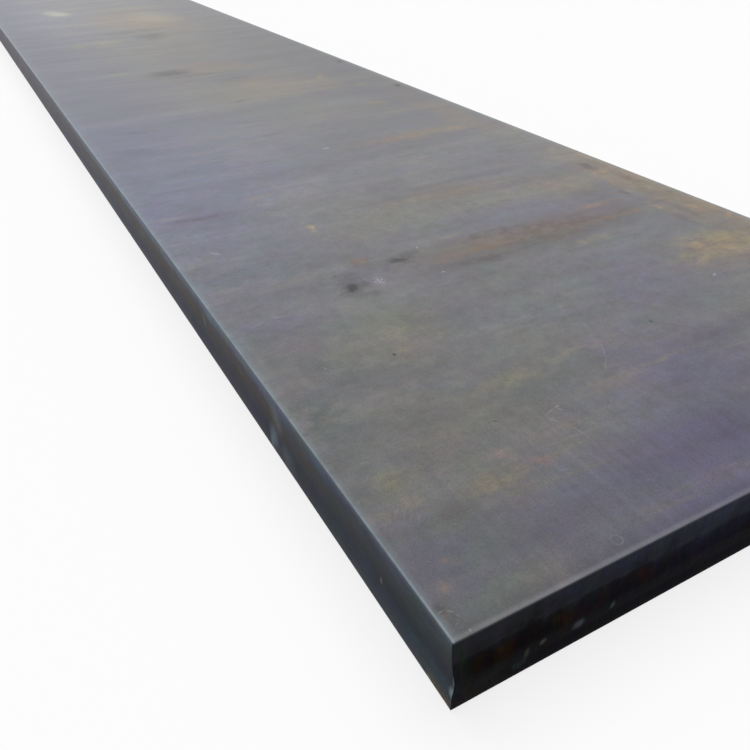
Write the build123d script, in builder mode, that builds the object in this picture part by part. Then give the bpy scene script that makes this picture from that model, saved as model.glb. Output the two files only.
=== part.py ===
# Hot-rolled steel plate, lying flat: one solid piece of stock, rolled along its length,
# with rolled long edges and hot-sheared ends.
# +X runs along the rolling direction, +Y across the plate and +Z up.
# The origin is at the centre of the underside.

import os

from build123d import *

# Overall sizes, in mm
length = 6000  # over the crests of both sheared ends
width = 1000
thickness = 100

# Rolled long edges
edge_drop = 1.2  # how far each face falls away where the rolls let go of it
edge_drop_run = 22  # how wide that falling strip is
edge_radius = 2.6
edge_lip = 12  # the upright stretch of the side next to each face
edge_hollow = 1.6  # how deep the side is drawn in between its lips

# Sheared ends
draw_down = 1.6  # how far the blade drew the upper face down before it cut
draw_down_run = 14  # how far in from the cut the upper face starts to fall
rim_radius = 1.8  # the rounded rim over the burnished land
foot_radius = 1.5  # the rim that sat on the lower blade
bulge = 6.5  # how far the torn part stands out past the rim

# Places down the sheared face, as shares of the thickness below the upper face
land_end_share = 0.32
crest_share = 0.60
neck_share = 0.77
lip_share = 0.88

# How far those places stand out, as shares of the bulge
land_out_share = 0.14
neck_out_share = 0.65
lip_out_share = 0.69
foot_out_share = 0.45

# Upright corners, seen from above: a wide arc that rounds only what stands out
corner_radius = 8
corner_clearance = 1  # how far outside the crest and the side that arc would run flat

# How much longer than the plate the rolled bar is at each end, before shearing
crop = 40

side = width / 2
mid_height = thickness / 2
reach = length / 2
cut = reach - bulge


def on_cut(out_share, depth_share):
    """A place on the sheared face, from its shares of the bulge and of the thickness."""
    return (cut + bulge * out_share, thickness * (1 - depth_share))


with BuildPart() as steel_plate:
    # The rolled bar: flat faces, falling strips, round corners and hollow sides
    with BuildSketch(Plane.YZ) as section:
        with BuildLine() as half_section:
            upper = Line((0, thickness), (side - edge_drop_run, thickness))
            upper_strip = TangentArc(upper @ 1, (side, thickness - edge_drop), tangent=upper % 1)
            upper_lip = Line(upper_strip @ 1, (side, thickness - edge_lip))
            hollow = Spline(
                upper_lip @ 1,
                (side - edge_hollow, mid_height),
                (side, edge_lip),
                tangents=(upper_lip % 1, upper_lip % 1),
            )
            lower_lip = Line(hollow @ 1, (side, edge_drop))
            under = Line((0, 0), (side - edge_drop_run, 0))
            TangentArc(under @ 1, lower_lip @ 1, tangent=under % 1)
            Line(under @ 0, upper @ 0)
        make_face()
        for corner in (upper_strip @ 1, lower_lip @ 1):
            fillet(section.vertices().sort_by_distance(corner)[0], edge_radius)
        mirror(about=Plane.YZ)
    extrude(amount=reach + crop, both=True)

    # The sheared ends: the upper face drawn down, then the land, the torn crest and the foot
    with BuildSketch(Plane.XZ) as outline:
        with BuildLine() as half_outline:
            upper = Line((0, thickness), (cut - draw_down_run, thickness))
            drawn = TangentArc(upper @ 1, (cut, thickness - draw_down), tangent=upper % 1)
            land = Line(drawn @ 1, on_cut(land_out_share, land_end_share))
            foot = (cut + bulge * foot_out_share, 0)
            down = Vector(0, -1)
            torn = Spline(
                land @ 1,
                on_cut(1, crest_share),
                on_cut(neck_out_share, neck_share),
                on_cut(lip_out_share, lip_share),
                foot,
                tangents=(land % 1, down, down, down, down),
            )
            under = Line(torn @ 1, (0, 0))
            Line(under @ 1, upper @ 0)
        make_face()
        fillet(outline.vertices().sort_by_distance(drawn @ 1)[0], rim_radius)
        fillet(outline.vertices().sort_by_distance(torn @ 1)[0], foot_radius)
        mirror(about=Plane.YZ)
    extrude(amount=width, both=True, mode=Mode.INTERSECT)

    # The upright corners, rounded where the torn crest stands out
    with BuildSketch(Plane.XY) as plan:
        RectangleRounded(
            length + 2 * corner_clearance,
            width + 2 * corner_clearance,
            corner_radius,
        )
    extrude(amount=thickness, mode=Mode.INTERSECT)

steel_plate.part.label = "steel_plate"

os.makedirs("parts", exist_ok=True)
export_step(steel_plate.part, "parts/steel_plate.step")
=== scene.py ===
import math

import bpy
import numpy as np
from mathutils import Euler, Matrix, Vector


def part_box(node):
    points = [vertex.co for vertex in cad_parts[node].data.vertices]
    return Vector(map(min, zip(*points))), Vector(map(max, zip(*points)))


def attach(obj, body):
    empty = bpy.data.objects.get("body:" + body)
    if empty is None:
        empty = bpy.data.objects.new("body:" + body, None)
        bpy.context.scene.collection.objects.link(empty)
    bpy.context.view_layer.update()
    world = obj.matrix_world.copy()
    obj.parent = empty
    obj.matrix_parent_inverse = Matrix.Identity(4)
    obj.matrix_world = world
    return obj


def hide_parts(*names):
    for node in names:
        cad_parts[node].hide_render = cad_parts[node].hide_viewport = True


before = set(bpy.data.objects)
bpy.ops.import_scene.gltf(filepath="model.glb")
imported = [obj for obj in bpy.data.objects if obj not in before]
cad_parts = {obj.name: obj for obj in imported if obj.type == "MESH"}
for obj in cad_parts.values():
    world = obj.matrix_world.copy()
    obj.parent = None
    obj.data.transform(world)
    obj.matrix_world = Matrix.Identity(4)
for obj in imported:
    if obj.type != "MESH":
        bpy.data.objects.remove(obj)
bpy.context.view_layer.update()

low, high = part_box("steel_plate")
reach, side, thick = high.x, high.y, high.z
print("frame loaded: the plate is", [round(v, 3) for v in high - low])


def srgb(red, green, blue):  # a colour as pictures give it, 0 to 255, made linear
    shares = [c / 255 for c in (red, green, blue)]
    return [((c + 0.055) / 1.055) ** 2.4 if c > 0.04 else c / 12.92 for c in shares] + [1]


class Wire:  # an output socket that can be reckoned with
    def __init__(self, tree, socket=None):
        self.tree, self.socket = tree, socket

    def node(self, kind, settings=None, sockets=None, output=0):
        made = self.tree.nodes.new(kind)
        for name, value in (settings or {}).items():
            if name == "stops":  # a ramp's stops: place and colour
                ramp = made.color_ramp.elements
                while len(ramp) < len(value):
                    ramp.new(0.5)
                for stop, (where, colour) in zip(ramp, value):
                    stop.position, stop.color = where, colour
            else:
                setattr(made, name, value)
        for name, value in (sockets or {}).items():
            if isinstance(value, Wire):
                self.tree.links.new(value.socket, made.inputs[name])
            else:
                made.inputs[name].default_value = value
        return Wire(self.tree, made.outputs[output] if made.outputs else None)

    def also(self, output):  # another output of the same node
        return Wire(self.tree, self.socket.node.outputs[output])

    def maths(self, operation, *values):
        return self.node("ShaderNodeMath", {"operation": operation}, dict(enumerate(values)))

    def vector(self, operation, *values, output=0):
        return self.node("ShaderNodeVectorMath", {"operation": operation}, dict(enumerate(values)), output)

    def __add__(self, other):
        return self.maths("ADD", self, other)

    def __radd__(self, other):
        return self.maths("ADD", other, self)

    def __sub__(self, other):
        return self.maths("SUBTRACT", self, other)

    def __rsub__(self, other):
        return self.maths("SUBTRACT", other, self)

    def __mul__(self, other):
        return self.maths("MULTIPLY", self, other)

    def __rmul__(self, other):
        return self.maths("MULTIPLY", other, self)

    def __rtruediv__(self, other):
        return self.maths("DIVIDE", other, self)

    def __abs__(self):
        return self.maths("ABSOLUTE", self)

    def larger(self, other):
        return self.maths("MAXIMUM", self, other)

    def fade(self, start, end):  # 0 at start and 1 at end, smooth between
        sockets = {"Value": self, "From Min": start, "From Max": end}
        return self.node("ShaderNodeMapRange", {"interpolation_type": "SMOOTHSTEP"}, sockets)

    def axes(self):  # x, y and z of a place or direction
        split = self.node("ShaderNodeSeparateXYZ", {}, {0: self})
        return split, split.also(1), split.also(2)

    def moved(self, stretch, shift):  # a place, stretched and then shifted
        return self.vector("MULTIPLY_ADD", self, stretch, shift)

    def size(self):  # how long a vector is
        return self.vector("LENGTH", self, output="Value")

    def scaled(self, amount):  # a colour or vector times a number
        return self.node("ShaderNodeVectorMath", {"operation": "SCALE"}, {0: self, "Scale": amount})

    def noise(self, stretch, detail=2.0, roughness=0.5, shift=0.0, output=0):
        place = self.moved(stretch, (shift, 1.7 * shift, 0.6 * shift))  # another shift, another pattern
        sockets = {"Vector": place, "Scale": 1.0, "Detail": detail, "Roughness": roughness}
        return self.node("ShaderNodeTexNoise", {}, sockets, output)

    def constant(self, colour):  # one colour everywhere
        made = self.node("ShaderNodeRGB")
        made.socket.default_value = colour
        return made

    def mixed(self, other, share):  # this colour, with that share of the other
        return self.node("ShaderNodeMix", {"data_type": "RGBA"}, {0: share, 6: self, 7: other}, 2)


def blank(owner):  # a material's or world's node tree, emptied
    owner.use_nodes = True
    owner.node_tree.nodes.clear()
    return Wire(owner.node_tree)


# Camera

eye = {
    "beforeEnd": 0.3046,  # metres in front of the near end
    "outFromSide": 0.2343,  # metres out from the near long side
    "aboveFace": 0.5443,  # metres above the upper face
    "turn": 27.91,  # degrees from the plate's length towards its far side
    "tilt": 34.45,  # degrees below level
    "lean": 1.28,  # degrees, held by hand
    "lens": 35.01,  # mm, on a 36 mm sensor
    "sensor": 36,
}


def makeCamera():
    data = bpy.data.cameras.new("camera")
    data.lens, data.sensor_width = eye["lens"], eye["sensor"]
    data.clip_start, data.clip_end = 0.02, 100
    camera = bpy.data.objects.new("camera", data)
    camera.location = (low.x - eye["beforeEnd"], high.y + eye["outFromSide"], high.z + eye["aboveFace"])
    upright = Euler((math.radians(90 - eye["tilt"]), 0, math.radians(-90 - eye["turn"])))
    lean = Matrix.Rotation(math.radians(-eye["lean"]), 3, "Z")
    camera.rotation_euler = (upright.to_matrix() @ lean).to_euler()
    bpy.context.scene.collection.objects.link(camera)
    bpy.context.scene.camera = camera


# Studio: floor, world and one soft lamp

studio = {
    "floorSize": 60.0,
    "floorGap": 0.0002,  # how far the floor lies under the plate
    "floorColour": srgb(238, 238, 238),  # as it is seen
    "bounceColour": srgb(150, 150, 152),  # as it lights things
    "floorGlow": 0.80,  # how much of the floor's look is plain white, without shading
    "ambient": 0.38,
    "lampStrength": 2.35,
    "lampAngle": 64,  # degrees, so wide that shadows are soft
    "lampFrom": (0.42, -0.22, 1.0),  # from the far end, a little from the far side
}


def seenRays(draw):  # 1 for rays that show the surroundings, 0 for those that light things
    rays = draw.node("ShaderNodeLightPath", output="Is Camera Ray")
    return rays.larger(rays.also("Is Glossy Ray")).larger(rays.also("Is Transmission Ray"))


def makeStudio():
    half = studio["floorSize"] / 2
    corners = [(-half, -half, 0), (half, -half, 0), (half, half, 0), (-half, half, 0)]
    mesh = bpy.data.meshes.new("floor")
    mesh.from_pydata(corners, [], [(0, 1, 2, 3)])
    floor = bpy.data.objects.new("floor", mesh)
    floor.location.z = low.z - studio["floorGap"]
    bpy.context.scene.collection.objects.link(floor)
    material = bpy.data.materials.new("paleFloor")
    draw = blank(material)
    tint = draw.constant(studio["bounceColour"]).mixed(studio["floorColour"], seenRays(draw))
    plain = draw.node("ShaderNodeBsdfDiffuse", {}, {"Color": tint})
    white = draw.node("ShaderNodeEmission", {}, {"Color": (1, 1, 1, 1), "Strength": 1.0})
    share = seenRays(draw) * studio["floorGlow"]
    look = draw.node("ShaderNodeMixShader", {}, {0: share, 1: plain, 2: white})
    draw.node("ShaderNodeOutputMaterial", {}, {"Surface": look})
    mesh.materials.append(material)

    world = bpy.data.worlds.new("studio")
    bpy.context.scene.world = world
    draw = blank(world)
    strength = seenRays(draw).larger(studio["ambient"])
    sky = draw.node("ShaderNodeBackground", {}, {"Color": (1, 1, 1, 1), "Strength": strength})
    draw.node("ShaderNodeOutputWorld", {}, {"Surface": sky})

    lamp = bpy.data.lights.new("softLamp", "SUN")
    lamp.energy, lamp.angle = studio["lampStrength"], math.radians(studio["lampAngle"])
    holder = bpy.data.objects.new("softLamp", lamp)
    holder.rotation_euler = Vector(studio["lampFrom"]).to_track_quat("Z", "Y").to_euler()
    bpy.context.scene.collection.objects.link(holder)


makeCamera()
makeStudio()
bpy.context.scene.view_settings.view_transform = "Standard"
print("camera, floor and lamp are in place")

# The plate's skin: faces that fall away at the rolled edges, and sheared ends

plate = {
    "edgeDrop": 0.0012,  # how far each face falls away at a long edge
    "edgeDropRun": 0.022,
    "edgeRadius": 0.0026,
    "edgeLip": 0.012,  # the upright stretch of the side next to each face
    "edgeHollow": 0.0016,  # how deep the side is drawn in
    "drawDown": 0.0016,  # how far the blade drew the upper face down
    "drawDownRun": 0.014,
    "rimRadius": 0.0018,
    "footRadius": 0.0015,
    "bulge": 0.0065,  # how far the torn part stands out
    # Down the sheared face: share of the thickness, and share of the bulge
    "tornShares": (
        (0.32, 0.12), (0.44, 0.30), (0.57, 0.90), (0.66, 0.84),
        (0.78, 0.68), (0.90, 0.84), (0.94, 0.84), (1.0, 0.45),
    ),
    "cornerRadius": 0.008,  # upright corners, seen from above
    "cornerClearance": 0.001,  # how far outside the plate that arc would run flat
    "leastCorner": 0.0009,  # the least rounding, where little stands out
    "rimSteps": 5,  # mesh points round the upper rim, down the wall, and so on
    "wallSteps": 25,
    "footSteps": 4,
    "cornerSteps": 7,
    "sideStrips": 3,  # mesh strips where a face falls away, at a long edge and at an end
    "endStrips": 4,
    "rimInset": 0.003,  # where those at an end start, in from the cut
    "stripGap": 0.006,  # from the last strip to the even rows and columns
    "scorePitch": 0.0025,  # mesh width across the sheared face
    "rowsPerScore": 10,  # that many of them to one row of the broad faces
    "columns": 290,  # mesh columns along the plate
    "crowding": 0.80,  # how much closer they stand near the ends
}


def fallen(gap, drop, run):  # how far a face has fallen, gap metres in from its edge
    along = max(run - gap, 0)
    radius = (run ** 2 + drop ** 2) / (2 * drop)
    return radius - math.sqrt(radius ** 2 - along ** 2)


def roundOff(before, corner, after, radius, steps):  # the arc in a corner of a profile
    corner = Vector(corner)
    back, onward = (Vector(before) - corner).normalized(), (Vector(after) - corner).normalized()
    half = back.angle(onward) / 2
    start = corner + back * radius / math.tan(half)
    centre = corner + (back + onward).normalized() * radius / math.sin(half)
    spoke = start - centre
    swing = math.pi - 2 * half
    if spoke.x * onward.y - spoke.y * onward.x < 0:
        swing = -swing
    turns = [swing * i / (steps - 1) for i in range(steps)]
    return [centre + Vector((spoke.x * math.cos(t) - spoke.y * math.sin(t),
                             spoke.x * math.sin(t) + spoke.y * math.cos(t))) for t in turns]


def wallHeights(rim, foot):
    steps = plate["wallSteps"]
    return [rim[-1].y + (foot[0].y - rim[-1].y) * i / (steps + 1) for i in range(1, steps + 1)]


def sideProfile():  # across the plate: how far out, and how high
    slope = 2 * math.atan(plate["edgeDrop"] / plate["edgeDropRun"])
    lip = plate["edgeLip"]
    upper = Vector((side, thick - plate["edgeDrop"]))
    lower = Vector((side, plate["edgeDrop"]))
    inUp, inDown = Vector((-math.cos(slope), math.sin(slope))), Vector((-math.cos(slope), -math.sin(slope)))
    rim = roundOff(upper + inUp, upper, (side, thick - lip), plate["edgeRadius"], plate["rimSteps"])
    foot = roundOff((side, lip), lower, lower + inDown, plate["edgeRadius"], plate["footSteps"])
    wall = []
    for height in wallHeights(rim, foot):
        share = min(max((height - lip) / (thick - 2 * lip), 0), 1)
        wall.append(Vector((side - plate["edgeHollow"] * math.sin(math.pi * share) ** 2, height)))
    return rim + wall + foot


def tornOut(height, cut):  # how far out the sheared face stands at a height
    places = [(0.0, 0.0)] + list(plate["tornShares"])
    down = 1 - height / thick
    for (topDown, topOut), (nextDown, nextOut) in zip(places, places[1:]):
        if down <= nextDown:
            share = (down - topDown) / (nextDown - topDown)
            if topDown > 0:
                share = share * share * (3 - 2 * share)
            return cut + plate["bulge"] * (topOut + (nextOut - topOut) * share)
    return cut + plate["bulge"] * places[-1][1]


def endProfile():  # along the plate: how far out, and how high
    cut = reach - plate["bulge"]
    slope = 2 * math.atan(plate["drawDown"] / plate["drawDownRun"])
    upper = Vector((cut, thick - plate["drawDown"]))
    landShare, landOut = plate["tornShares"][0]
    landEnd = Vector((cut + plate["bulge"] * landOut, thick * (1 - landShare)))
    lower = Vector((tornOut(0, cut), 0))
    inward = Vector((-math.cos(slope), math.sin(slope)))
    rim = roundOff(upper + inward, upper, landEnd, plate["rimRadius"], plate["rimSteps"])
    above, within = lower + Vector((0, 1)), lower - Vector((1, 0))
    foot = roundOff(above, lower, within, plate["footRadius"], plate["footSteps"])
    wall = [Vector((tornOut(height, cut), height)) for height in wallHeights(rim, foot)]
    return rim + wall + foot


def cornerArc(end, flank):  # the upright corner at one level, from the end round to the side
    radius = plate["cornerRadius"]
    centre = Vector((reach, side)) + Vector((1, 1)) * (plate["cornerClearance"] - radius)
    reachX = centre.x + math.sqrt(max(radius ** 2 - (flank.x - centre.y) ** 2, 0))
    reachY = centre.y + math.sqrt(max(radius ** 2 - (end.x - centre.x) ** 2, 0))
    backX = max(end.x - reachX, plate["leastCorner"])
    backY = max(flank.x - reachY, plate["leastCorner"])
    start, corner, stop = (end.x, flank.x - backY), (end.x, flank.x), (end.x - backX, flank.x)
    points = []
    for i in range(plate["cornerSteps"]):
        t = i / (plate["cornerSteps"] - 1)
        x, y = ((1 - t) ** 2 * a + 2 * t * (1 - t) * b + t * t * c for a, b, c in zip(start, corner, stop))
        ease = t * t * (3 - 2 * t)
        points.append((x, y, end.y + (flank.y - end.y) * ease))
    return points


def spread(inner, outer):  # edge rows, evenly placed rows, edge rows, all mirrored about zero
    return sorted([-v for v in outer] + list(inner) + list(outer))


def strips(start, run, count):  # places from start inwards, evenly over run
    return [start - step * run / count for step in range(count + 1)]


def plateSkin():
    inset = plate["cornerRadius"] - plate["cornerClearance"]  # the outermost row of the broad faces
    stripY = strips(side - inset, plate["edgeDropRun"] - inset, plate["sideStrips"])
    cut = reach - plate["bulge"]
    stripX = strips(cut - plate["rimInset"], plate["drawDownRun"], plate["endStrips"])
    rowStart = stripY[-1] - plate["stripGap"]
    rows = round(2 * rowStart / (plate["scorePitch"] * plate["rowsPerScore"]))
    fineRows = np.linspace(-rowStart, rowStart, rows * plate["rowsPerScore"] + 1)
    coarseY, fineY = spread(fineRows[::plate["rowsPerScore"]], stripY), spread(fineRows, stripY)
    u = np.linspace(0, 1, plate["columns"] + 1)
    even = u - plate["crowding"] * np.sin(2 * math.pi * u) / (2 * math.pi)
    middle = (even - 0.5) * 2 * (stripX[-1] - plate["stripGap"])
    allX = spread(middle, stripX)

    # Rings round the plate, one for each level from the upper rim down to the foot
    flanks, ends = sideProfile(), endProfile()
    verts, zoneOf = [], []

    def ring(level):
        flank, end = flanks[level], ends[level]
        arc = cornerArc(end, flank)
        loop = [(end.x, y, end.y, "end") for y in fineY]
        loop += [(x, y, z, "corner") for x, y, z in arc]
        loop += [(x, flank.x, flank.y, "flank") for x in reversed(allX)]
        loop += [(-x, y, z, "corner") for x, y, z in reversed(arc)]
        loop += [(-x, -y, z, zone) for x, y, z, zone in loop]
        return loop

    for level in range(len(flanks)):
        for x, y, z, zone in ring(level):
            verts.append((x, y, z))
            zoneOf.append(zone)
    count = len(verts) // len(flanks)
    faces, kinds = [], []
    rim, foot = plate["rimSteps"] // 2, len(flanks) - plate["footSteps"] // 2
    for level in range(len(flanks) - 1):
        for i in range(count):
            j = (i + 1) % count
            a, b = level * count, (level + 1) * count
            faces.append((a + i, b + i, b + j, a + j))
            zones = {zoneOf[i], zoneOf[j]}
            onWall = rim <= level < foot
            kinds.append(("flank" if "flank" in zones else "end") if onWall else "face")

    # Broad faces, joined to the first and the last ring
    nY, nX, nC = len(fineY), len(allX), plate["cornerSteps"]
    endPlus = {y: i for i, y in enumerate(fineY)}
    sidePlus = {x: nY + nC + i for i, x in enumerate(reversed(allX))}
    endMinus = {y: nY + 2 * nC + nX + i for i, y in enumerate(reversed(fineY))}
    sideMinus = {x: 2 * nY + 3 * nC + nX + i for i, x in enumerate(allX)}

    def cap(level, upper):
        base = level * count
        columns = []
        for x in allX:
            near = abs(x) >= stripX[-1] - 1e-9
            column = {}
            for y in fineY if near else coarseY:
                gapX, gapY = cut - abs(x), side - abs(y)
                sideFall = fallen(gapY, plate["edgeDrop"], plate["edgeDropRun"])
                if upper:
                    z = thick - max(sideFall, fallen(gapX, plate["drawDown"], plate["drawDownRun"]))
                else:
                    z = sideFall
                column[y] = len(verts)
                verts.append((x, y, z))
            columns.append(column)

        def addFace(*corners):
            faces.append(corners if upper else corners[::-1])
            kinds.append("face")

        for left, right in zip(columns, columns[1:]):
            if len(left) == len(right):
                keys = list(left)
                for a, b in zip(keys, keys[1:]):
                    addFace(left[a], right[a], right[b], left[b])
            else:
                coarse = list(left if len(left) < len(right) else right)
                for a, b in zip(coarse, coarse[1:]):
                    between = [y for y in fineY if a <= y <= b]
                    if len(left) > len(right):
                        addFace(right[a], right[b], *[left[y] for y in reversed(between)])
                    else:
                        addFace(left[b], left[a], *[right[y] for y in between])
        for a, b in zip(fineY, fineY[1:]):
            addFace(columns[-1][a], base + endPlus[a], base + endPlus[b], columns[-1][b])
            addFace(base + endMinus[a], columns[0][a], columns[0][b], base + endMinus[b])
        top, bottom = fineY[-1], fineY[0]
        for left, right, a, b in zip(columns, columns[1:], allX, allX[1:]):
            addFace(left[top], right[top], base + sidePlus[b], base + sidePlus[a])
            addFace(base + sideMinus[a], base + sideMinus[b], right[bottom], left[bottom])
        farArc, nearArc = base + nY, base + nY + nC + nX  # where the ring's corners start
        half = nY + nC + nX + nC
        fans = (
            (columns[-1][top], base + endPlus[top], farArc, base + sidePlus[allX[-1]]),
            (columns[0][top], base + sidePlus[allX[0]], nearArc, base + endMinus[top]),
            (columns[0][bottom], base + endMinus[bottom], farArc + half, base + sideMinus[allX[0]]),
            (columns[-1][bottom], base + sideMinus[allX[-1]], nearArc + half, base + endPlus[bottom]),
        )
        for inner, before, start, after in fans:
            outer = [before] + [start + i for i in range(nC)] + [after]
            for a, b in zip(outer, outer[1:]):
                addFace(inner, a, b)

    cap(0, True)
    cap(len(flanks) - 1, False)
    mesh = bpy.data.meshes.new("rolled_plate")
    mesh.from_pydata(verts, [], faces)
    for kind, name in (("end", "onEnd"), ("flank", "onFlank")):
        flags = mesh.attributes.new(name, "BOOLEAN", "FACE")
        flags.data.foreach_set("value", [k == kind for k in kinds])
    mesh.update()
    return mesh


# What rolling and shearing left in the skin

relief = {
    "Wave Depth": 0.00035,  # slow waves in the broad faces
    "Side Depth": 0.00045,  # long dents in the rolled sides
    "Tear Depth": 0.0016,  # pits and ridges down the torn part
    "Tear Pitch": 0.0065,  # metres from ridge to ridge
    "Lump Depth": 0.0011,  # broader hollows between the ridges
    "Score Depth": 0.00022,  # shallow scores down the burnished land
    "Land Foot": 0.064,  # the heights between which the torn part gives way to the land
    "Land Start": 0.073,
    "Crest Wander": 0.0045,  # how far the torn part's places move up and down
    "Seed": 4.0,
}


def newTree(name, inputs, materials):
    tree = bpy.data.node_groups.new(name, "GeometryNodeTree")
    tree.interface.new_socket("Geometry", in_out="INPUT", socket_type="NodeSocketGeometry")
    for label in inputs:
        tree.interface.new_socket(label, in_out="INPUT", socket_type="NodeSocketFloat")
    for label in materials:
        tree.interface.new_socket(label, in_out="INPUT", socket_type="NodeSocketMaterial")
    tree.interface.new_socket("Geometry", in_out="OUTPUT", socket_type="NodeSocketGeometry")
    return tree


def runTree(piece, tree, values):  # the tree's result becomes the piece's plain mesh
    modifier = piece.modifiers.new(tree.name, "NODES")
    modifier.node_group = tree
    for item in tree.interface.items_tree:
        if item.in_out == "INPUT" and item.name in values:
            modifier[item.identifier] = values[item.name]
    evaluated = piece.evaluated_get(bpy.context.evaluated_depsgraph_get())
    mesh = bpy.data.meshes.new_from_object(evaluated)
    piece.modifiers.remove(modifier)
    mesh.name = piece.name
    piece.data = mesh


def reliefTree():
    tree = newTree("rolledAndTorn", relief, ["Face Finish", "Side Finish", "End Finish"])
    draw = Wire(tree)
    given = draw.node("NodeGroupInput")
    place = draw.node("GeometryNodeInputPosition")
    normal = draw.node("GeometryNodeInputNormal")
    height = place.axes()[2]
    facingEnd, _, facingUp = normal.axes()
    upright = 1 - abs(facingUp).fade(0.3, 0.9)
    endward = upright * abs(facingEnd).fade(0.55, 0.85)
    sideward = upright * (1 - endward)
    seeded = place.vector("ADD", place, given.also("Seed"))

    # The torn part: ridges that run down, of uneven pitch and depth, with pits between
    landFoot, landStart = given.also("Land Foot"), given.also("Land Start")
    torn = endward * height.fade(landStart, landFoot) * height.fade(0.0005, 0.006)  # not round the foot
    perMetre = 1 / given.also("Tear Pitch")
    ridgeStretch = draw.node("ShaderNodeCombineXYZ", {}, {"X": 3.0, "Y": perMetre, "Z": 16.0})
    ridges = seeded.noise(ridgeStretch, 2.0, 0.6)
    pits = seeded.noise((20.0, 95.0, 70.0), 3.0, 0.55, 5.0)
    lumps = seeded.noise((1.0, 11.0, 9.0), 2.0, 0.5, 9.0)
    tear = (ridges * 0.65 + pits * 0.35) * given.also("Tear Depth") * torn
    tear = tear + lumps * given.also("Lump Depth") * torn

    # The burnished land: fine shallow scores, a little closer than the ridges
    land = endward * height.fade(landFoot, landStart) * height.fade(0.098, 0.094)  # nor round the rim
    scoreStretch = draw.node("ShaderNodeCombineXYZ", {}, {"X": 3.0, "Y": perMetre * 1.1, "Z": 5.0})
    scores = seeded.noise(scoreStretch, 1.0, 0.5, 13.0)
    score = (scores - 0.5) * given.also("Score Depth") * land

    # Sides and broad faces
    dents = seeded.noise((7.0, 3.0, 30.0), 2.0, 0.5, 17.0) - 0.5
    dent = dents * given.also("Side Depth") * sideward
    waves = seeded.noise((2.2, 2.8, 1.0), 2.0, 0.5, 21.0) - 0.5
    wave = waves * given.also("Wave Depth") * (1 - upright)

    move = normal.scaled(dent + wave + score - tear)
    wander = (seeded.noise((1.0, 9.0, 0.5), 3.0, 0.55, 27.0) - 0.5) * given.also("Crest Wander") * torn
    lift = draw.node("ShaderNodeCombineXYZ", {}, {"Z": wander})
    offset = move.vector("ADD", move, lift)
    shaped = draw.node("GeometryNodeSetPosition", {}, {"Geometry": given, "Offset": offset})
    smooth = draw.node("GeometryNodeSetShadeSmooth", {}, {"Geometry": shaped})
    solid = draw.node("GeometryNodeRealizeInstances", {}, {"Geometry": smooth})
    sockets = {"Geometry": solid, "Material": given.also("Face Finish")}
    solid = draw.node("GeometryNodeSetMaterial", {}, sockets)
    for flag, finish in (("onFlank", "Side Finish"), ("onEnd", "End Finish")):
        chosen = draw.node("GeometryNodeInputNamedAttribute", {"data_type": "BOOLEAN"}, {"Name": flag})
        sockets = {"Geometry": solid, "Selection": chosen, "Material": given.also(finish)}
        solid = draw.node("GeometryNodeSetMaterial", {}, sockets)
    draw.node("NodeGroupOutput", {}, {"Geometry": solid})
    return tree


# Finishes. Places on the plate are metres from the near end and from the near long side.

def finishOf(draw, colour, roughness, height, values):
    bump = {"Height": height, "Strength": values["bumpStrength"], "Distance": values["bumpDepth"]}
    sockets = {"Base Color": colour, "Roughness": roughness, "Specular IOR Level": values["gloss"]}
    sockets["Normal"] = draw.node("ShaderNodeBump", {}, bump)
    look = draw.node("ShaderNodeBsdfPrincipled", {}, sockets)
    draw.node("ShaderNodeOutputMaterial", {}, {"Surface": look})


def withSwapped(place):  # a place, and the same with x and y swapped, for turned ovals
    x, y, _ = place.axes()
    return place, place.node("ShaderNodeCombineXYZ", {}, {"X": y, "Y": x})


def patch(ground, mark):  # a soft oval: middle, half length along and across, turn in degrees
    place, swapped = ground
    fromEnd, fromSide, along, across, turn = mark
    x, y = low.x + fromEnd, high.y - fromSide
    cosine, sine = math.cos(math.radians(turn)), math.sin(math.radians(turn))
    shift = (-(x * cosine + y * sine) / along, (x * sine - y * cosine) / across, 0)
    if turn:
        shift = swapped.moved((sine / along, -sine / across, 0), shift)
    return place.moved((cosine / along, cosine / across, 0), shift).size()


def spot(place, middle, half):  # 1 in its middle, 0 from its rim out; a half size of 0 leaves that axis out
    stretch = [1 / h if h else 0 for h in half]
    shift = [-m / h if h else 0 for m, h in zip(middle, half)]
    return place.moved(stretch, shift).size().fade(1.0, 0.1)


def jitter(colour, noise, amount):  # each channel of a colour varied on its own
    varied = noise.moved([amount] * 3, [1 - amount / 2] * 3)
    return colour.vector("MULTIPLY", colour, varied)


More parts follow.
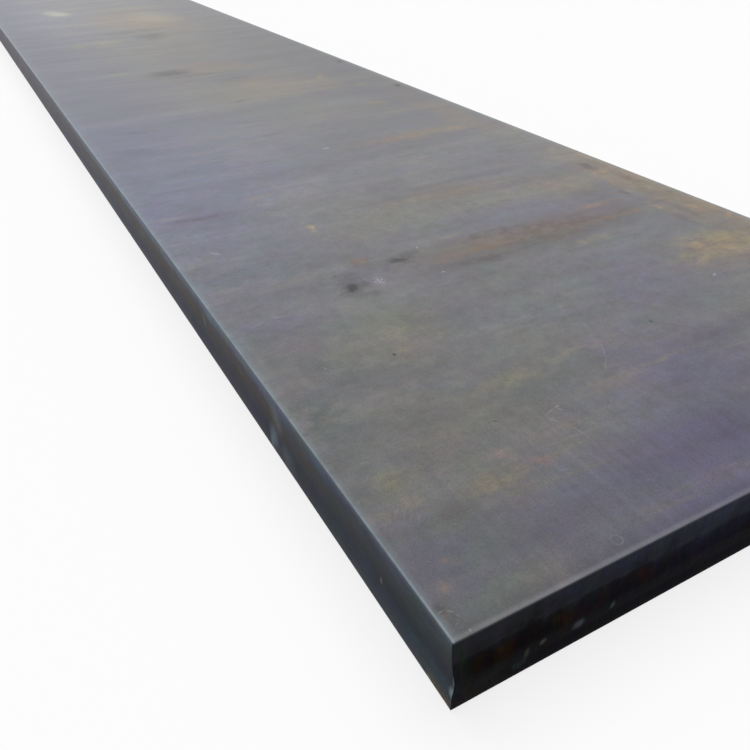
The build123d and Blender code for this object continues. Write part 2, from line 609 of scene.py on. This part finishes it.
scale = {
    "steel": srgb(95, 95, 99),
    "violet": srgb(84, 80, 107),
    "blue": srgb(90, 92, 108),
    "olive": srgb(107, 106, 98),
    "tan": srgb(118, 104, 86),
    # Wear mixed with painted highlight along the end rim and the long edges; at the near corner painted
    # highlight
    "rimWearHighlight": srgb(168, 168, 172),
    "edgeWearHighlight": srgb(146, 165, 172),
    "cornerHighlight": srgb(172, 174, 188),
    # How far in from an edge each effect starts, and where it is full
    "thinLine": (0.0038, 0.0014),
    # The bands beside the long edge are painted highlight; rimLine is wear with painted highlight, rimShade
    # is painted shade
    "highlightBand": (0.011, 0.002),
    "wideHighlightBand": (0.030, 0.010),
    "rimLine": (0.0080, 0.0015),
    "rimShade": (0.020, 0.010),
    "hueSpread": 0.48,  # how much each colour channel varies on its own
    "bandHueSpread": 0.11,
    "roughness": 0.24,
    "gloss": 0.14,
    "bumpStrength": 0.4,
    "bumpDepth": 0.0005,
    "ring": (0.0255, 0.2055, 0.0062, 0.0062, 0),  # drawn with a thin light line
    "flakes": (0.631, 0.272, 0.017, 0.015, 0),  # light grains
    "polished": (0.06, 0.35, 0.30, 0.42, 0),  # where lines along the rolling show
    "toneZones": [  # how much lighter, fading over the width and over the length
        (0.18, (0.15, 0.45), (0.70, 0.30)),
        (0.15, (0.60, 0.30), (0.70, 0.95)),
        (-0.20, (0.60, 0.95), (1.2, 1.8)),
        (-0.22, (0.25, 0.0), (2.4, 3.6)),
    ],
    "patchyTints": ("straw", "rust", "pink", "brown", "shade"),  # they come through in patches
    "violetZone": [  # soft ovals: middle, half length, half width, turn, and how strong
        ((0.050, 0.400, 0.180, 0.320, 10), 0.86),
        ((0.180, 0.520, 0.160, 0.200, 0), 0.50),
        ((0.060, 0.190, 0.080, 0.090, 0), 0.45),
        ((0.090, 0.030, 0.080, 0.050, 0), 0.40),
        ((0.575, 0.055, 0.040, 0.060, 0), 0.25),
        ((0.420, 0.640, 0.120, 0.120, 0), 0.35),
        ((0.700, 0.640, 0.110, 0.380, 0), 0.35),
        ((1.050, 0.110, 0.040, 0.110, 0), 0.35),
    ],
    "oliveZone": [
        ((0.250, 0.170, 0.120, 0.170, 0), 0.62),
        ((0.480, 0.215, 0.150, 0.120, 0), 0.65),
        ((0.320, 0.360, 0.130, 0.110, 0), 0.40),
        ((0.200, 0.060, 0.050, 0.070, 0), 0.70),
        ((0.030, 0.100, 0.028, 0.070, 0), 0.60),
        ((0.840, 0.400, 0.110, 0.170, 0), 0.60),
        ((0.830, 0.640, 0.060, 0.180, 0), 0.45),
        ((1.000, 0.300, 0.060, 0.150, 0), 0.25),
        ((1.650, 0.600, 0.180, 0.200, 0), 0.35),
        ((1.950, 0.480, 0.260, 0.260, 0), 0.45),
        ((2.750, 0.480, 0.600, 0.260, 0), 0.45),
    ],
    "tanZone": [
        ((0.720, 0.970, 0.440, 0.100, 0), 0.80),
        ((0.440, 0.860, 0.080, 0.160, 8), 0.80),
        ((0.655, 0.640, 0.060, 0.340, 0), 0.50),
        ((0.900, 0.600, 0.060, 0.240, 0), 0.36),
        ((0.820, 0.820, 0.100, 0.120, 0), 0.40),
        ((1.290, 0.740, 0.050, 0.270, 0), 0.50),
        ((1.400, 0.930, 0.400, 0.070, 0), 0.40),
        ((1.980, 0.640, 0.240, 0.240, 0), 0.42),
        ((2.340, 0.560, 0.120, 0.180, 0), 0.45),
        ((2.850, 0.600, 0.320, 0.180, 4), 0.22),
        ((3.500, 0.600, 0.520, 0.260, 8), 0.80),
    ],
    "tints": {  # name: colour, softness from core to rim, places with their strength
        "straw": (srgb(132, 122, 88), 0.0, [
            ((0.200, 0.050, 0.038, 0.044, 0), 0.32),
            ((0.455, 0.850, 0.075, 0.120, 0), 0.40),
            ((0.470, 0.210, 0.080, 0.080, 0), 0.14),
            ((1.618, 0.800, 0.036, 0.075, 0), 0.42),
            ((3.000, 0.230, 0.090, 0.050, 0), 0.34),
            ((0.155, 0.155, 0.024, 0.060, 0), 0.34),
            ((0.300, 0.290, 0.030, 0.090, 0), 0.22),
            ((0.888, 0.265, 0.050, 0.010, 3), 0.46),
            ((0.460, 0.365, 0.016, 0.017, 0), 0.40),
            ((0.698, 0.391, 0.020, 0.009, 0), 0.50),
            ((0.237, 0.450, 0.010, 0.150, 0), 0.26),
            ((0.310, 0.400, 0.009, 0.120, 0), 0.24),
            ((0.578, 0.680, 0.016, 0.100, 0), 0.32),
            ((0.905, 0.520, 0.028, 0.120, 0), 0.16),
            ((1.855, 0.742, 0.014, 0.150, 0), 0.35),
            ((1.874, 0.566, 0.020, 0.085, 0), 0.32),
            ((2.660, 0.860, 0.022, 0.034, 0), 0.45),
            ((2.010, 0.812, 0.056, 0.022, -25), 0.75),
            ((1.845, 0.884, 0.034, 0.031, 0), 0.42),
            ((2.416, 0.241, 0.034, 0.075, 0), 0.26),
            ((3.024, 0.331, 0.136, 0.092, 0), 0.32),
        ]),
        "rust": (srgb(138, 112, 82), 0.0, [
            ((0.160, 0.134, 0.014, 0.050, 4), 0.10),
            ((0.034, 0.010, 0.012, 0.008, 0), 0.30),
            ((0.062, 0.024, 0.012, 0.014, 0), 0.24),
            ((0.086, 0.046, 0.016, 0.012, 0), 0.22),
            ((0.1207, 0.0795, 0.0026, 0.0022, 0), 0.55),
            ((0.1270, 0.0830, 0.0018, 0.0022, 0), 0.45),
            ((0.1140, 0.0750, 0.0018, 0.0016, 0), 0.45),
            ((0.1330, 0.0700, 0.0018, 0.0018, 0), 0.40),
            ((0.440, 0.870, 0.036, 0.090, 8), 0.13),
            ((0.420, 0.770, 0.016, 0.060, 10), 0.12),
            ((0.698, 0.790, 0.016, 0.110, 0), 0.42),
            ((0.641, 0.400, 0.008, 0.060, 0), 0.28),
            ((0.650, 0.500, 0.018, 0.150, 0), 0.30),
            ((0.640, 0.780, 0.014, 0.150, 0), 0.40),
            ((0.630, 0.893, 0.044, 0.010, 0), 0.52),
            ((0.712, 0.280, 0.032, 0.026, 0), 0.42),
            ((0.900, 0.620, 0.014, 0.090, 0), 0.10),
            ((0.836, 0.934, 0.014, 0.036, 0), 0.80),
            ((0.790, 0.915, 0.050, 0.010, 0), 0.34),
            ((0.600, 0.950, 0.060, 0.010, 12), 0.40),
            ((0.560, 0.980, 0.080, 0.014, 0), 0.50),
            ((0.860, 0.982, 0.200, 0.012, 0), 0.34),
            ((1.287, 0.745, 0.034, 0.170, 0), 0.18),
            ((1.287, 0.864, 0.042, 0.042, 0), 0.40),
            ((2.042, 0.594, 0.046, 0.050, 0), 0.30),
        ]),
        "pink": (srgb(130, 98, 94), 0.0, [
            ((0.153, 0.220, 0.018, 0.016, 0), 0.30),
            ((0.190, 0.188, 0.016, 0.026, -30), 0.26),
            ((0.140, 0.088, 0.022, 0.026, 0), 0.12),
            ((2.445, 0.535, 0.030, 0.120, 0), 0.40),
            ((2.028, 0.562, 0.018, 0.065, 0), 0.40),
        ]),
        "brown": (srgb(54, 44, 44), 0.2, [
            ((0.132, 0.088, 0.028, 0.032, 0), 0.26),
            ((0.027, 0.012, 0.010, 0.007, 20), 0.26),
            ((0.614, 0.500, 0.026, 0.200, 0), 0.40),
            ((0.640, 0.760, 0.044, 0.180, 0), 0.34),
            ((0.690, 0.540, 0.026, 0.190, 0), 0.42),
            ((0.706, 0.280, 0.038, 0.031, 0), 0.34),
            ((0.656, 0.640, 0.076, 0.350, 0), 0.40),
            ((0.720, 0.893, 0.032, 0.014, 0), 0.34),
            ((0.880, 0.938, 0.038, 0.020, 0), 0.75),
            ((0.700, 0.940, 0.036, 0.026, 0), 0.24),
            ((0.900, 0.600, 0.045, 0.110, 0), 0.14),
            ((0.700, 0.470, 0.018, 0.060, 0), 0.18),
            ((0.560, 0.890, 0.050, 0.018, 0), 0.22),
            ((0.590, 0.925, 0.070, 0.012, 0), 0.26),
            ((0.790, 0.960, 0.060, 0.016, 0), 0.35),
            ((0.960, 0.650, 0.020, 0.300, 0), 0.20),
            ((1.035, 0.120, 0.016, 0.100, 0), 0.35),
            ((2.137, 0.564, 0.035, 0.090, 0), 0.26),
            ((2.260, 0.470, 0.030, 0.170, 0), 0.30),
            ((3.240, 0.480, 0.060, 0.220, 0), 0.30),
        ]),
        "teal": (srgb(66, 76, 78), 0.0, [
            ((0.350, 0.038, 0.080, 0.036, 0), 0.66),
            ((0.450, 0.075, 0.050, 0.030, 0), 0.40),
            ((0.800, 0.180, 0.200, 0.060, 0), 0.10),
        ]),
        "smudge": (srgb(22, 22, 25), 0.15, [
            ((0.630, 0.226, 0.062, 0.050, 0), 0.40),
            ((0.632, 0.226, 0.029, 0.021, 0), 0.90),
            ((0.622, 0.231, 0.020, 0.012, 24), 0.50),
            ((0.638, 0.219, 0.011, 0.024, -10), 0.50),
            ((0.686, 0.350, 0.034, 0.056, 14), 0.36),
            ((0.681, 0.340, 0.018, 0.031, -12), 0.72),
            ((2.336, 0.400, 0.075, 0.110, 0), 0.60),
            ((3.073, 0.532, 0.120, 0.084, 0), 0.42),
            ((1.767, 0.964, 0.030, 0.016, 0), 0.75),
            ((2.184, 0.971, 0.037, 0.016, 0), 0.65),
            ((0.427, 0.184, 0.0048, 0.0044, 0), 0.85),
            ((0.238, 0.215, 0.0050, 0.0018, 48), 0.85),
            ((0.316, 0.551, 0.0062, 0.0040, 0), 0.55),
            ((0.291, 0.573, 0.0340, 0.0022, 39), 0.26),
            ((0.042, 0.008, 0.011, 0.007, 0), 0.45),
            ((0.327, 0.008, 0.008, 0.007, 0), 0.45),
        ]),
        "bare": (srgb(190, 194, 206), 0.2, [
            ((0.605, 0.380, 0.0030, 0.0050, -10), 0.34),
            ((0.708, 0.391, 0.0030, 0.0026, 0), 0.34),
            ((0.444, 0.087, 0.0040, 0.0014, 20), 0.26),
            ((0.373, 0.751, 0.0022, 0.0070, 24), 0.40),
            ((0.868, 0.075, 0.0160, 0.0055, 45), 0.13),
            ((0.604, 0.085, 0.0022, 0.0140, -14), 0.16),
            ((0.598, 0.050, 0.0020, 0.0200, 16), 0.12),
            ((0.603, 0.060, 0.0059, 0.0600, 0), 0.02),
            ((1.309, 0.500, 0.0055, 0.0120, 0), 0.34),
        ]),
        "shade": (srgb(48, 42, 58), 0.0, [
            ((1.688, 0.140, 0.022, 0.070, -20), 0.30),
            ((1.520, 0.095, 0.050, 0.090, -30), 0.22),
            ((1.043, 0.075, 0.012, 0.075, 0), 0.26),
            ((1.850, 0.478, 0.016, 0.055, 10), 0.34),
            ((1.485, 0.430, 0.012, 0.065, 8), 0.26),
            ((2.468, 0.235, 0.020, 0.065, 10), 0.26),
            ((2.770, 0.130, 0.026, 0.085, -6), 0.26),
            ((1.375, 0.245, 0.010, 0.065, 0), 0.24),
            ((0.558, 0.108, 0.008, 0.046, 0), 0.18),
            ((1.630, 0.405, 0.014, 0.100, -15), 0.22),
        ]),
        "pale": (srgb(206, 202, 172), 0.2, [
            ((3.984, 0.287, 0.1600, 0.0700, 12), 0.22),
            ((3.600, 0.680, 0.3000, 0.1500, 8), 0.07),
        ]),
        "scratch": (srgb(160, 164, 174), 0.0, [
            ((0.2196, 0.2821, 0.0125, 0.0013, -67), 0.42),
            ((0.2240, 0.2980, 0.0064, 0.0015, 90), 0.60),
            ((0.2176, 0.2980, 0.0058, 0.0013, 7), 0.38),
            ((0.2013, 0.2790, 0.0085, 0.0016, 32), 0.34),
            ((0.207, 0.276, 0.0040, 0.0060, 20), 0.20),
            ((0.1739, 0.2890, 0.0240, 0.0015, 14), 0.22),
            ((0.1873, 0.3008, 0.0085, 0.0012, -44), 0.20),
            ((0.1997, 0.3632, 0.0090, 0.0014, -40), 0.24),
            ((0.1890, 0.1860, 0.0132, 0.0012, -73), 0.20),
            ((0.1840, 0.1840, 0.0110, 0.0010, -70), 0.14),
            ((0.1303, 0.2289, 0.0118, 0.0011, 77), 0.16),
            ((0.1680, 0.0390, 0.0110, 0.0009, -42), 0.16),
            ((0.1600, 0.0430, 0.0130, 0.0009, -40), 0.20),
            ((0.1520, 0.0460, 0.0120, 0.0009, -43), 0.18),
            ((0.1440, 0.0500, 0.0110, 0.0009, -41), 0.16),
            ((0.262, 0.413, 0.0207, 0.0018, -42), 0.20),
            ((0.290, 0.436, 0.0372, 0.0018, -32), 0.16),
            ((0.356, 0.462, 0.0260, 0.0018, -14), 0.14),
            ((0.152, 0.290, 0.0320, 0.0016, -8), 0.10),
            ((0.039, 0.009, 0.0042, 0.0011, 90), 0.42),
            ((0.0355, 0.016, 0.0058, 0.0011, 49), 0.55),
            ((0.0285, 0.020, 0.0040, 0.0010, 0), 0.36),
            ((0.0215, 0.0145, 0.0070, 0.0009, -57), 0.26),
            ((0.0105, 0.0210, 0.0028, 0.0013, -20), 0.90),
        ]),
    },
}


def millScale():
    material = bpy.data.materials.new("millScale")
    draw = blank(material)
    place = draw.node("ShaderNodeTexCoord", output="Object")
    x, y, _ = place.axes()
    fromEnd, fromSide = x - low.x, high.y - y
    flat = place.vector("MULTIPLY", place, (1, 1, 0))

    # Slow patches, bands across from the rolls' cooling, fine streaks, and lines along the rolling
    cloud = flat.noise((3.2, 2.4, 1), 3.0, 0.55)
    blotch = flat.noise((13.0, 8.0, 1), 4.0, 0.6, 3.0)
    bands = flat.noise((13.0, 1.9, 1), 5.0, 0.64, 7.0)
    streaks = flat.noise((60.0, 7.0, 1), 3.0, 0.6, 11.0)
    lines = flat.noise((2.2, 105.0, 1), 3.0, 0.6, 15.0)
    mottle = flat.noise((46.0, 36.0, 1), 5.0, 0.72, 19.0)
    grain = flat.noise((420.0, 420.0, 1), 2.0, 0.6, 23.0)
    hues = flat.noise((15.0, 11.0, 1), 6.0, 0.84, 27.0, "Color")
    bandHues = flat.noise((20.0, 3.6, 1), 5.0, 0.66, 29.0, "Color")

    # Zones whose rims wander
    wander = {}
    for axis, shift in (("X", 31.0), ("Y", 33.0)):
        wander[axis] = flat.noise((46.0, 24.0, 1), 5.0, 0.7, shift) - 0.5
    ragged = draw.node("ShaderNodeCombineXYZ", {}, wander)
    still = withSwapped(flat)
    grounds = [  # least half width, and how far rims wander
        (0.030, withSwapped(ragged.moved((0.080, 0.14, 0), flat))),
        (0.006, withSwapped(ragged.moved((0.036, 0.046, 0), flat))),
        (0.0, still),
    ]

    def covered(places, rim, core):  # how much of the marks lies on a point
        total = None
        for mark, strength in places:
            ground = next(g for least, g in grounds if min(mark[2:4]) > least)
            share = patch(ground, mark).fade(rim, core) * strength
            total = share if total is None else total.larger(share)
        return total

    # Ground colours: bluer along the near side, and from a metre on over most of the width
    olive = (cloud * 0.5 + bands * 0.5).fade(0.46, 0.62) * 0.35
    colour = draw.constant(scale["steel"]).mixed(scale["olive"], olive)
    bySide = fromSide.fade(0.42, 0.02) * fromEnd.fade(0.45, 1.0) * 0.76
    across = fromSide.fade(0.80, 0.20) * fromEnd.fade(0.95, 1.15) * fromEnd.fade(2.0, 1.5) * 0.5
    colour = colour.mixed(scale["blue"], bySide + across)
    colour = colour.mixed(scale["violet"], blotch.fade(0.52, 0.74) * 0.22)
    for name in ("violet", "olive", "tan"):
        colour = colour.mixed(scale[name], covered(scale[name + "Zone"], 1.15, 0.0) * (0.45 + 1.1 * mottle))
    warm = (streaks * 0.5 + bands * 0.5).fade(0.54, 0.66) * cloud.fade(0.40, 0.62)
    colour = colour.mixed(scale["tan"], warm * 0.4)

    # Marks, each where the plate has it
    patchy = (streaks * 0.2 + mottle * 0.8).fade(0.40, 0.60) * 1.1 + 0.35
    for name, (tint, core, places) in scale["tints"].items():
        share = covered(places, 1.0, core)
        if name in scale["patchyTints"]:
            share = share * patchy
        colour = colour.mixed(tint, share)
    ring = abs(patch(still, scale["ring"]) - 1).fade(0.24, 0.0) * mottle.fade(0.35, 0.5)
    colour = colour.mixed(scale["tints"]["scratch"][0], ring * 0.22)
    flakes = patch(still, scale["flakes"]).fade(1.0, 0.2) * grain.fade(0.50, 0.60)
    colour = colour.mixed(scale["tints"]["bare"][0], flakes * 0.40)

    # Tone: mottled, more so near by, lined where the rolls polished it, darker by the near end, and lighter
    # far along as painted sheen
    colour = jitter(jitter(colour, hues, scale["hueSpread"]), bandHues, scale["bandHueSpread"])
    polished = patch(still, scale["polished"]).fade(1.0, 0.2) * 0.16 + 0.05
    fartherOn = fromEnd.fade(0.6, 2.0)
    tone = (1 + polished * (lines - 0.5) * 2) * (0.65 + 0.70 * grain)
    tone = tone * (1 + (mottle - 0.5) * (0.80 - 0.44 * fartherOn)) * (0.84 + 0.32 * blotch)
    tone = tone * (1 + (bands - 0.5) * (0.70 - 0.10 * fartherOn))
    tone = tone * (0.96 + 0.08 * streaks) * (0.79 + 0.37 * fromEnd.fade(-0.10, 0.85))
    # Darker from 1.6 to 2.3 m, then lighter from 2.7 m on; the lightening far along is painted sheen of the
    # glancing reflection
    tone = tone * (1.0 - 0.11 * fromEnd.fade(1.6, 2.3) + 0.21 * fromEnd.fade(2.7, 3.8))
    for lighter, overWidth, overLength in scale["toneZones"]:
        tone = tone * (1.0 + lighter * fromSide.fade(*overWidth) * fromEnd.fade(*overLength))
    colour = colour.scaled(tone)

    # Along the edges: wear mixed with painted highlight, brightest at the near corner; the lighter bands
    # beside the long edge are painted highlight, and the faint darkening in from the end rim is painted
    # shade
    sideGap, endGap = side - abs(y), reach - plate["bulge"] - abs(x)
    wornAndLit = 0.10 + 0.4 * blotch + 1.3 * mottle
    thin = sideGap.fade(*scale["thinLine"]) * wornAndLit
    wide = sideGap.fade(*scale["wideHighlightBand"]) * fromEnd.fade(0.25, 0.5)
    highlightBand = sideGap.fade(*scale["highlightBand"]) * 0.18 + wide * 0.08
    rimWearAndHighlight = endGap.fade(*scale["rimLine"]) * (0.08 + 0.20 * blotch + 0.10 * mottle)
    wearAndHighlight = thin * 0.36 + highlightBand * wornAndLit
    colour = colour.mixed((0, 0, 0, 1), endGap.fade(*scale["rimShade"]) * 0.045)
    colour = colour.mixed(scale["rimWearHighlight"], rimWearAndHighlight)
    colour = colour.mixed(scale["edgeWearHighlight"], wearAndHighlight)
    colour = colour.mixed(scale["cornerHighlight"], thin * fromEnd.fade(0.12, 0.03) * 0.16)

    roughness = scale["roughness"] + 0.10 * blotch + 0.10 * mottle - wearAndHighlight * 0.06
    height = grain * 0.5 + mottle * 0.6 + lines * 0.3
    finishOf(draw, colour, roughness, height, scale)
    return material


flank = {
    "steel": srgb(42, 51, 62),
    "brown": srgb(46, 31, 34),
    "dark": srgb(29, 40, 47),
    "blue": srgb(41, 39, 66),
    "teal": srgb(57, 69, 85),
    # a real mauve tint that also paints the sheen of the glancing reflection farther along
    "mauveAndSheen": srgb(86, 78, 96),
    # painted highlight: the side's lighter upper band, where the rounded edge turns towards the light
    "upper": srgb(106, 115, 133),
    "rust": srgb(120, 106, 70),
    # light smears, and painted highlight at the corner
    "smearAndHighlight": srgb(150, 166, 170),
    # wear along the upper rim, with painted highlight
    "wornAndLit": srgb(136, 144, 158),
    "wornAndLitLine": (0.0090, 0.0025),  # how far under the upper face the wear and painted highlight start, and are full
    "hueSpread": 1.5,
    "roughness": 0.31,
    "gloss": 0.02,
    "bumpStrength": 0.4,
    "bumpDepth": 0.0005,
    "smearsAndHighlights": [  # from the near end, height, half length, half height, strength
        (0.430, 0.028, 0.021, 0.028, 0.62),
        (0.438, 0.012, 0.009, 0.018, 0.55),
        (0.415, 0.066, 0.026, 0.044, 0.30),
        (0.385, 0.024, 0.036, 0.026, 0.22),
        (0.719, 0.062, 0.009, 0.020, 0.30),
        (0.137, 0.0435, 0.0034, 0.0065, 0.60),
        # the next two are painted highlight: the glint on the corner's lip and a lit line down the corner
        (0.004, 0.029, 0.0062, 0.012, 1.00),
        (0.003, 0.060, 0.0030, 0.050, 0.40),
        (0.041, 0.0059, 0.004, 0.004, 0.45),
    ],
    "scuffs": [  # darker, the same way
        (0.930, 0.006, 0.030, 0.016, 0.60),
        (0.450, 0.004, 0.006, 0.014, 0.50),
    ],
}


def rolledSide():
    material = bpy.data.materials.new("rolledSide")
    draw = blank(material)
    place = draw.node("ShaderNodeTexCoord", output="Object")
    x, _, z = place.axes()
    fromEnd = x - low.x
    runs = place.noise((4.0, 1.0, 130.0), 3.0, 0.55)
    blotch = place.noise((12.0, 5.0, 30.0), 4.0, 0.66, 5.0)
    drips = place.noise((55.0, 3.0, 6.0), 2.0, 0.5, 9.0)
    grain = place.noise((300.0, 300.0, 300.0), 3.0, 0.65, 13.0)
    hues = place.noise((22.0, 9.0, 26.0), 6.0, 0.74, 17.0, "Color")
    specks = place.noise((70.0, 20.0, 70.0), 4.0, 0.7, 21.0)

    # Bands from the foot up, with rims that wander, and their change along the plate
    edge = z + (blotch - 0.5) * 0.03
    middle = edge.fade(0.038, 0.056) * edge.fade(0.080, 0.064)
    colour = draw.constant(flank["steel"]).mixed(flank["dark"], middle * fromEnd.fade(0.40, 0.10))
    colour = colour.mixed(flank["brown"], middle * fromEnd.fade(0.10, 0.45) * (0.20 + 1.5 * blotch))
    colour = colour.mixed(flank["teal"], edge.fade(0.046, 0.030) * fromEnd.fade(0.45, 0.05) * 0.9)
    colour = colour.mixed(flank["blue"], edge.fade(0.042, 0.024) * fromEnd.fade(0.15, 0.60) * 0.9)
    # The lighter upper band is painted highlight
    upper = (0.40 + 0.60 * fromEnd.fade(0.10, 0.60)) * (1 - 0.5 * fromEnd.fade(1.6, 3.4))
    colour = colour.mixed(flank["upper"], edge.fade(0.074, 0.095) * upper)
    # Mauve farther along: a real tint, and painted sheen of the glancing reflection
    colour = colour.mixed(flank["mauveAndSheen"], fromEnd.fade(1.0, 3.2) * (0.3 + 0.8 * blotch))

    # Rust at the near foot and in the middle, then light smears, painted highlights at the corner, and
    # scuffs
    nearFoot = (z + (specks - 0.5) * 0.04).fade(0.025, 0.006) * fromEnd.fade(0.09, 0.01)
    footRust = nearFoot * specks.fade(0.34, 0.58) * 0.85
    middleRust = middle * fromEnd.fade(0.15, 0.40) * blotch.fade(0.52, 0.70) * 0.22
    colour = colour.mixed(flank["rust"], footRust.larger(middleRust))
    for places, tint, ragged in (("smearsAndHighlights", flank["smearAndHighlight"], drips), ("scuffs", (0, 0, 0, 1), blotch)):
        for gone, height, along, tall, strength in flank[places]:
            share = spot(place, (low.x + gone, 0, height), (along, 0, tall))
            colour = colour.mixed(tint, share * strength * (0.60 + 0.6 * ragged))

    # Tone, lighter farther along as painted sheen, and the worn upper rim, which also carries painted
    # highlight
    colour = jitter(colour, hues, flank["hueSpread"])
    tone = (0.72 + 0.56 * runs) * (0.50 + 1.00 * grain) * (0.84 + 0.32 * drips)
    tone = tone * (0.70 + 0.60 * blotch) * (0.70 + 0.60 * specks)
    tone = tone * (1.0 + 0.14 * fromEnd.fade(0.6, 1.2))
    wearAndHighlight = z.fade(*(thick - gap for gap in flank["wornAndLitLine"])) * 0.34
    colour = colour.scaled(tone).mixed(flank["wornAndLit"], wearAndHighlight)
    roughness = flank["roughness"] + 0.14 * blotch
    finishOf(draw, colour, roughness, runs * 0.8 + grain * 0.3, flank)
    return material


sheared = {
    "byCorner": [  # height as a share of the thickness, and the colour near the corner
        # the stop at 0.32, under the crest where it faces down, is darkened as painted shade
        (0.08, srgb(24, 25, 28)), (0.20, srgb(23, 23, 26)), (0.32, srgb(17, 17, 19)),
        (0.53, srgb(13, 10, 11)), (0.66, srgb(13, 12, 16)), (0.78, srgb(15, 17, 22)),
        (0.92, srgb(30, 33, 41)),
    ],
    "farther": [  # and 400 mm farther along
        # here too the stop at 0.32, under the crest, is darkened as painted shade
        (0.08, srgb(25, 24, 31)), (0.20, srgb(21, 20, 26)), (0.32, srgb(13, 12, 17)),
        (0.53, srgb(32, 29, 41)), (0.66, srgb(32, 34, 48)), (0.78, srgb(27, 31, 49)),
        (0.92, srgb(41, 45, 66)),
    ],
    # a real teal-dark colour near the corner, made lighter as painted light against the shade under the
    # crest
    "corner": srgb(30, 34, 36),
    "foot": srgb(50, 47, 45),
    "rust": srgb(56, 36, 17),
    "chip": srgb(98, 106, 106),
    # wear along the rim, with painted highlight
    "wornAndLit": srgb(110, 112, 120),
    "wornAndLitLine": (0.0050, 0.0022),  # how far under the upper face the wear and painted highlight start, and are full
    "hueSpread": 2.2,
    "roughness": 0.85,
    "gloss": 0.04,
    "bumpStrength": 0.6,
    "bumpDepth": 0.0008,
    "rustSpots": [  # from the near long side, height, half width, half height, strength
        (0.028, 0.0520, 0.010, 0.018, 0.30),
        (0.058, 0.0500, 0.018, 0.022, 0.30),
        (0.056, 0.0580, 0.009, 0.009, 0.90),
        (0.128, 0.0520, 0.018, 0.018, 0.30),
        (0.122, 0.0560, 0.010, 0.008, 0.55),
        (0.132, 0.0500, 0.006, 0.010, 0.55),
        (0.182, 0.0550, 0.014, 0.014, 0.26),
        (0.228, 0.0560, 0.012, 0.010, 0.40),
        (0.236, 0.0520, 0.020, 0.018, 0.22),
    ],
    "chips": [
        (0.104, 0.0357, 0.0060, 0.0070, 0.8),
        (0.149, 0.0325, 0.0105, 0.0110, 1.0),
        (0.193, 0.0342, 0.0050, 0.0085, 0.8),
        (0.085, 0.0300, 0.0050, 0.0130, 0.5),
        (0.078, 0.0180, 0.0120, 0.0080, 0.3),
    ],
}


def shearedEnd():
    material = bpy.data.materials.new("shearedEnd")
    draw = blank(material)
    place = draw.node("ShaderNodeTexCoord", output="Object")
    _, y, z = place.axes()
    striae = place.noise((4.0, 330.0, 18.0), 3.0, 0.6)
    broad = place.noise((4.0, 60.0, 14.0), 2.0, 0.5, 4.0)
    blotch = place.noise((10.0, 22.0, 30.0), 4.0, 0.66, 8.0)
    grain = place.noise((400.0, 400.0, 400.0), 2.0, 0.6, 12.0)
    hues = place.noise((9.0, 120.0, 34.0), 5.0, 0.72, 16.0, "Color")

    # Colours by height, at the corners and farther along; under the crest they are darkened as painted
    # shade
    edge = z + (broad - 0.5) * 0.024 + (blotch - 0.5) * 0.050
    share = edge * (1 / thick)
    byCorner = draw.node("ShaderNodeValToRGB", {"stops": sheared["byCorner"]}, {"Fac": share})
    farther = draw.node("ShaderNodeValToRGB", {"stops": sheared["farther"]}, {"Fac": share})
    fromCorner = side - abs(y)
    colour = byCorner.mixed(farther, (fromCorner + (blotch - 0.5) * 0.3).fade(0.02, 0.40))
    # Near the corner: a real teal-dark colour, lighter as painted light where the crest's underside is
    # shaded
    colour = colour.mixed(sheared["corner"], (fromCorner + (blotch - 0.5) * 0.02).fade(0.026, 0.010))
    colour = colour.mixed(sheared["foot"], edge.fade(0.034, 0.008) * fromCorner.fade(0.12, 0.0) * 0.7)
    rusty = edge.fade(0.030, 0.040) * edge.fade(0.072, 0.062) * fromCorner.fade(0.34, 0.10)
    colour = colour.mixed(sheared["rust"], rusty * blotch.fade(0.5, 0.72) * 0.25)

    # Rust spots with wandering rims, and chips
    wander = {
        "Y": broad * 0.020 + striae * 0.006 - 0.013,
        "Z": blotch * 0.030 + striae * 0.010 - 0.020,
    }
    wavy = place.vector("ADD", place, draw.node("ShaderNodeCombineXYZ", {}, wander))
    for places, tint, ground in (("rustSpots", "rust", wavy), ("chips", "chip", place)):
        for gone, height, wide, tall, strength in sheared[places]:
            share = spot(ground, (0, high.y - gone, height), (0, wide, tall))
            colour = colour.mixed(sheared[tint], share * strength * (0.3 + 1.0 * striae))

    # Tone, the worn rim, which also carries painted highlight, and the land smoother than the torn part
    colour = jitter(colour, hues, sheared["hueSpread"])
    tone = (0.60 + 0.80 * striae) * (0.85 + 0.3 * broad) * (0.65 + 0.7 * grain)
    wearAndHighlight = z.fade(*(thick - gap for gap in sheared["wornAndLitLine"])) * 0.4
    colour = colour.scaled(tone).mixed(sheared["wornAndLit"], wearAndHighlight)
    land = edge.fade(0.058, 0.078)
    roughness = sheared["roughness"] - land * 0.25
    finishOf(draw, colour, roughness, striae * (1 - land * 0.8) + grain * 0.4, sheared)
    return material


def makePlate():
    piece = bpy.data.objects.new("rolled_plate", plateSkin())
    bpy.context.scene.collection.objects.link(piece)
    finishes = {"Face Finish": millScale(), "Side Finish": rolledSide(), "End Finish": shearedEnd()}
    runTree(piece, reliefTree(), {**relief, **finishes})
    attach(piece, "root")
    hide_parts("steel_plate")
    return piece


plateObject = makePlate()
print("plate skinned:", len(plateObject.data.polygons), "faces")
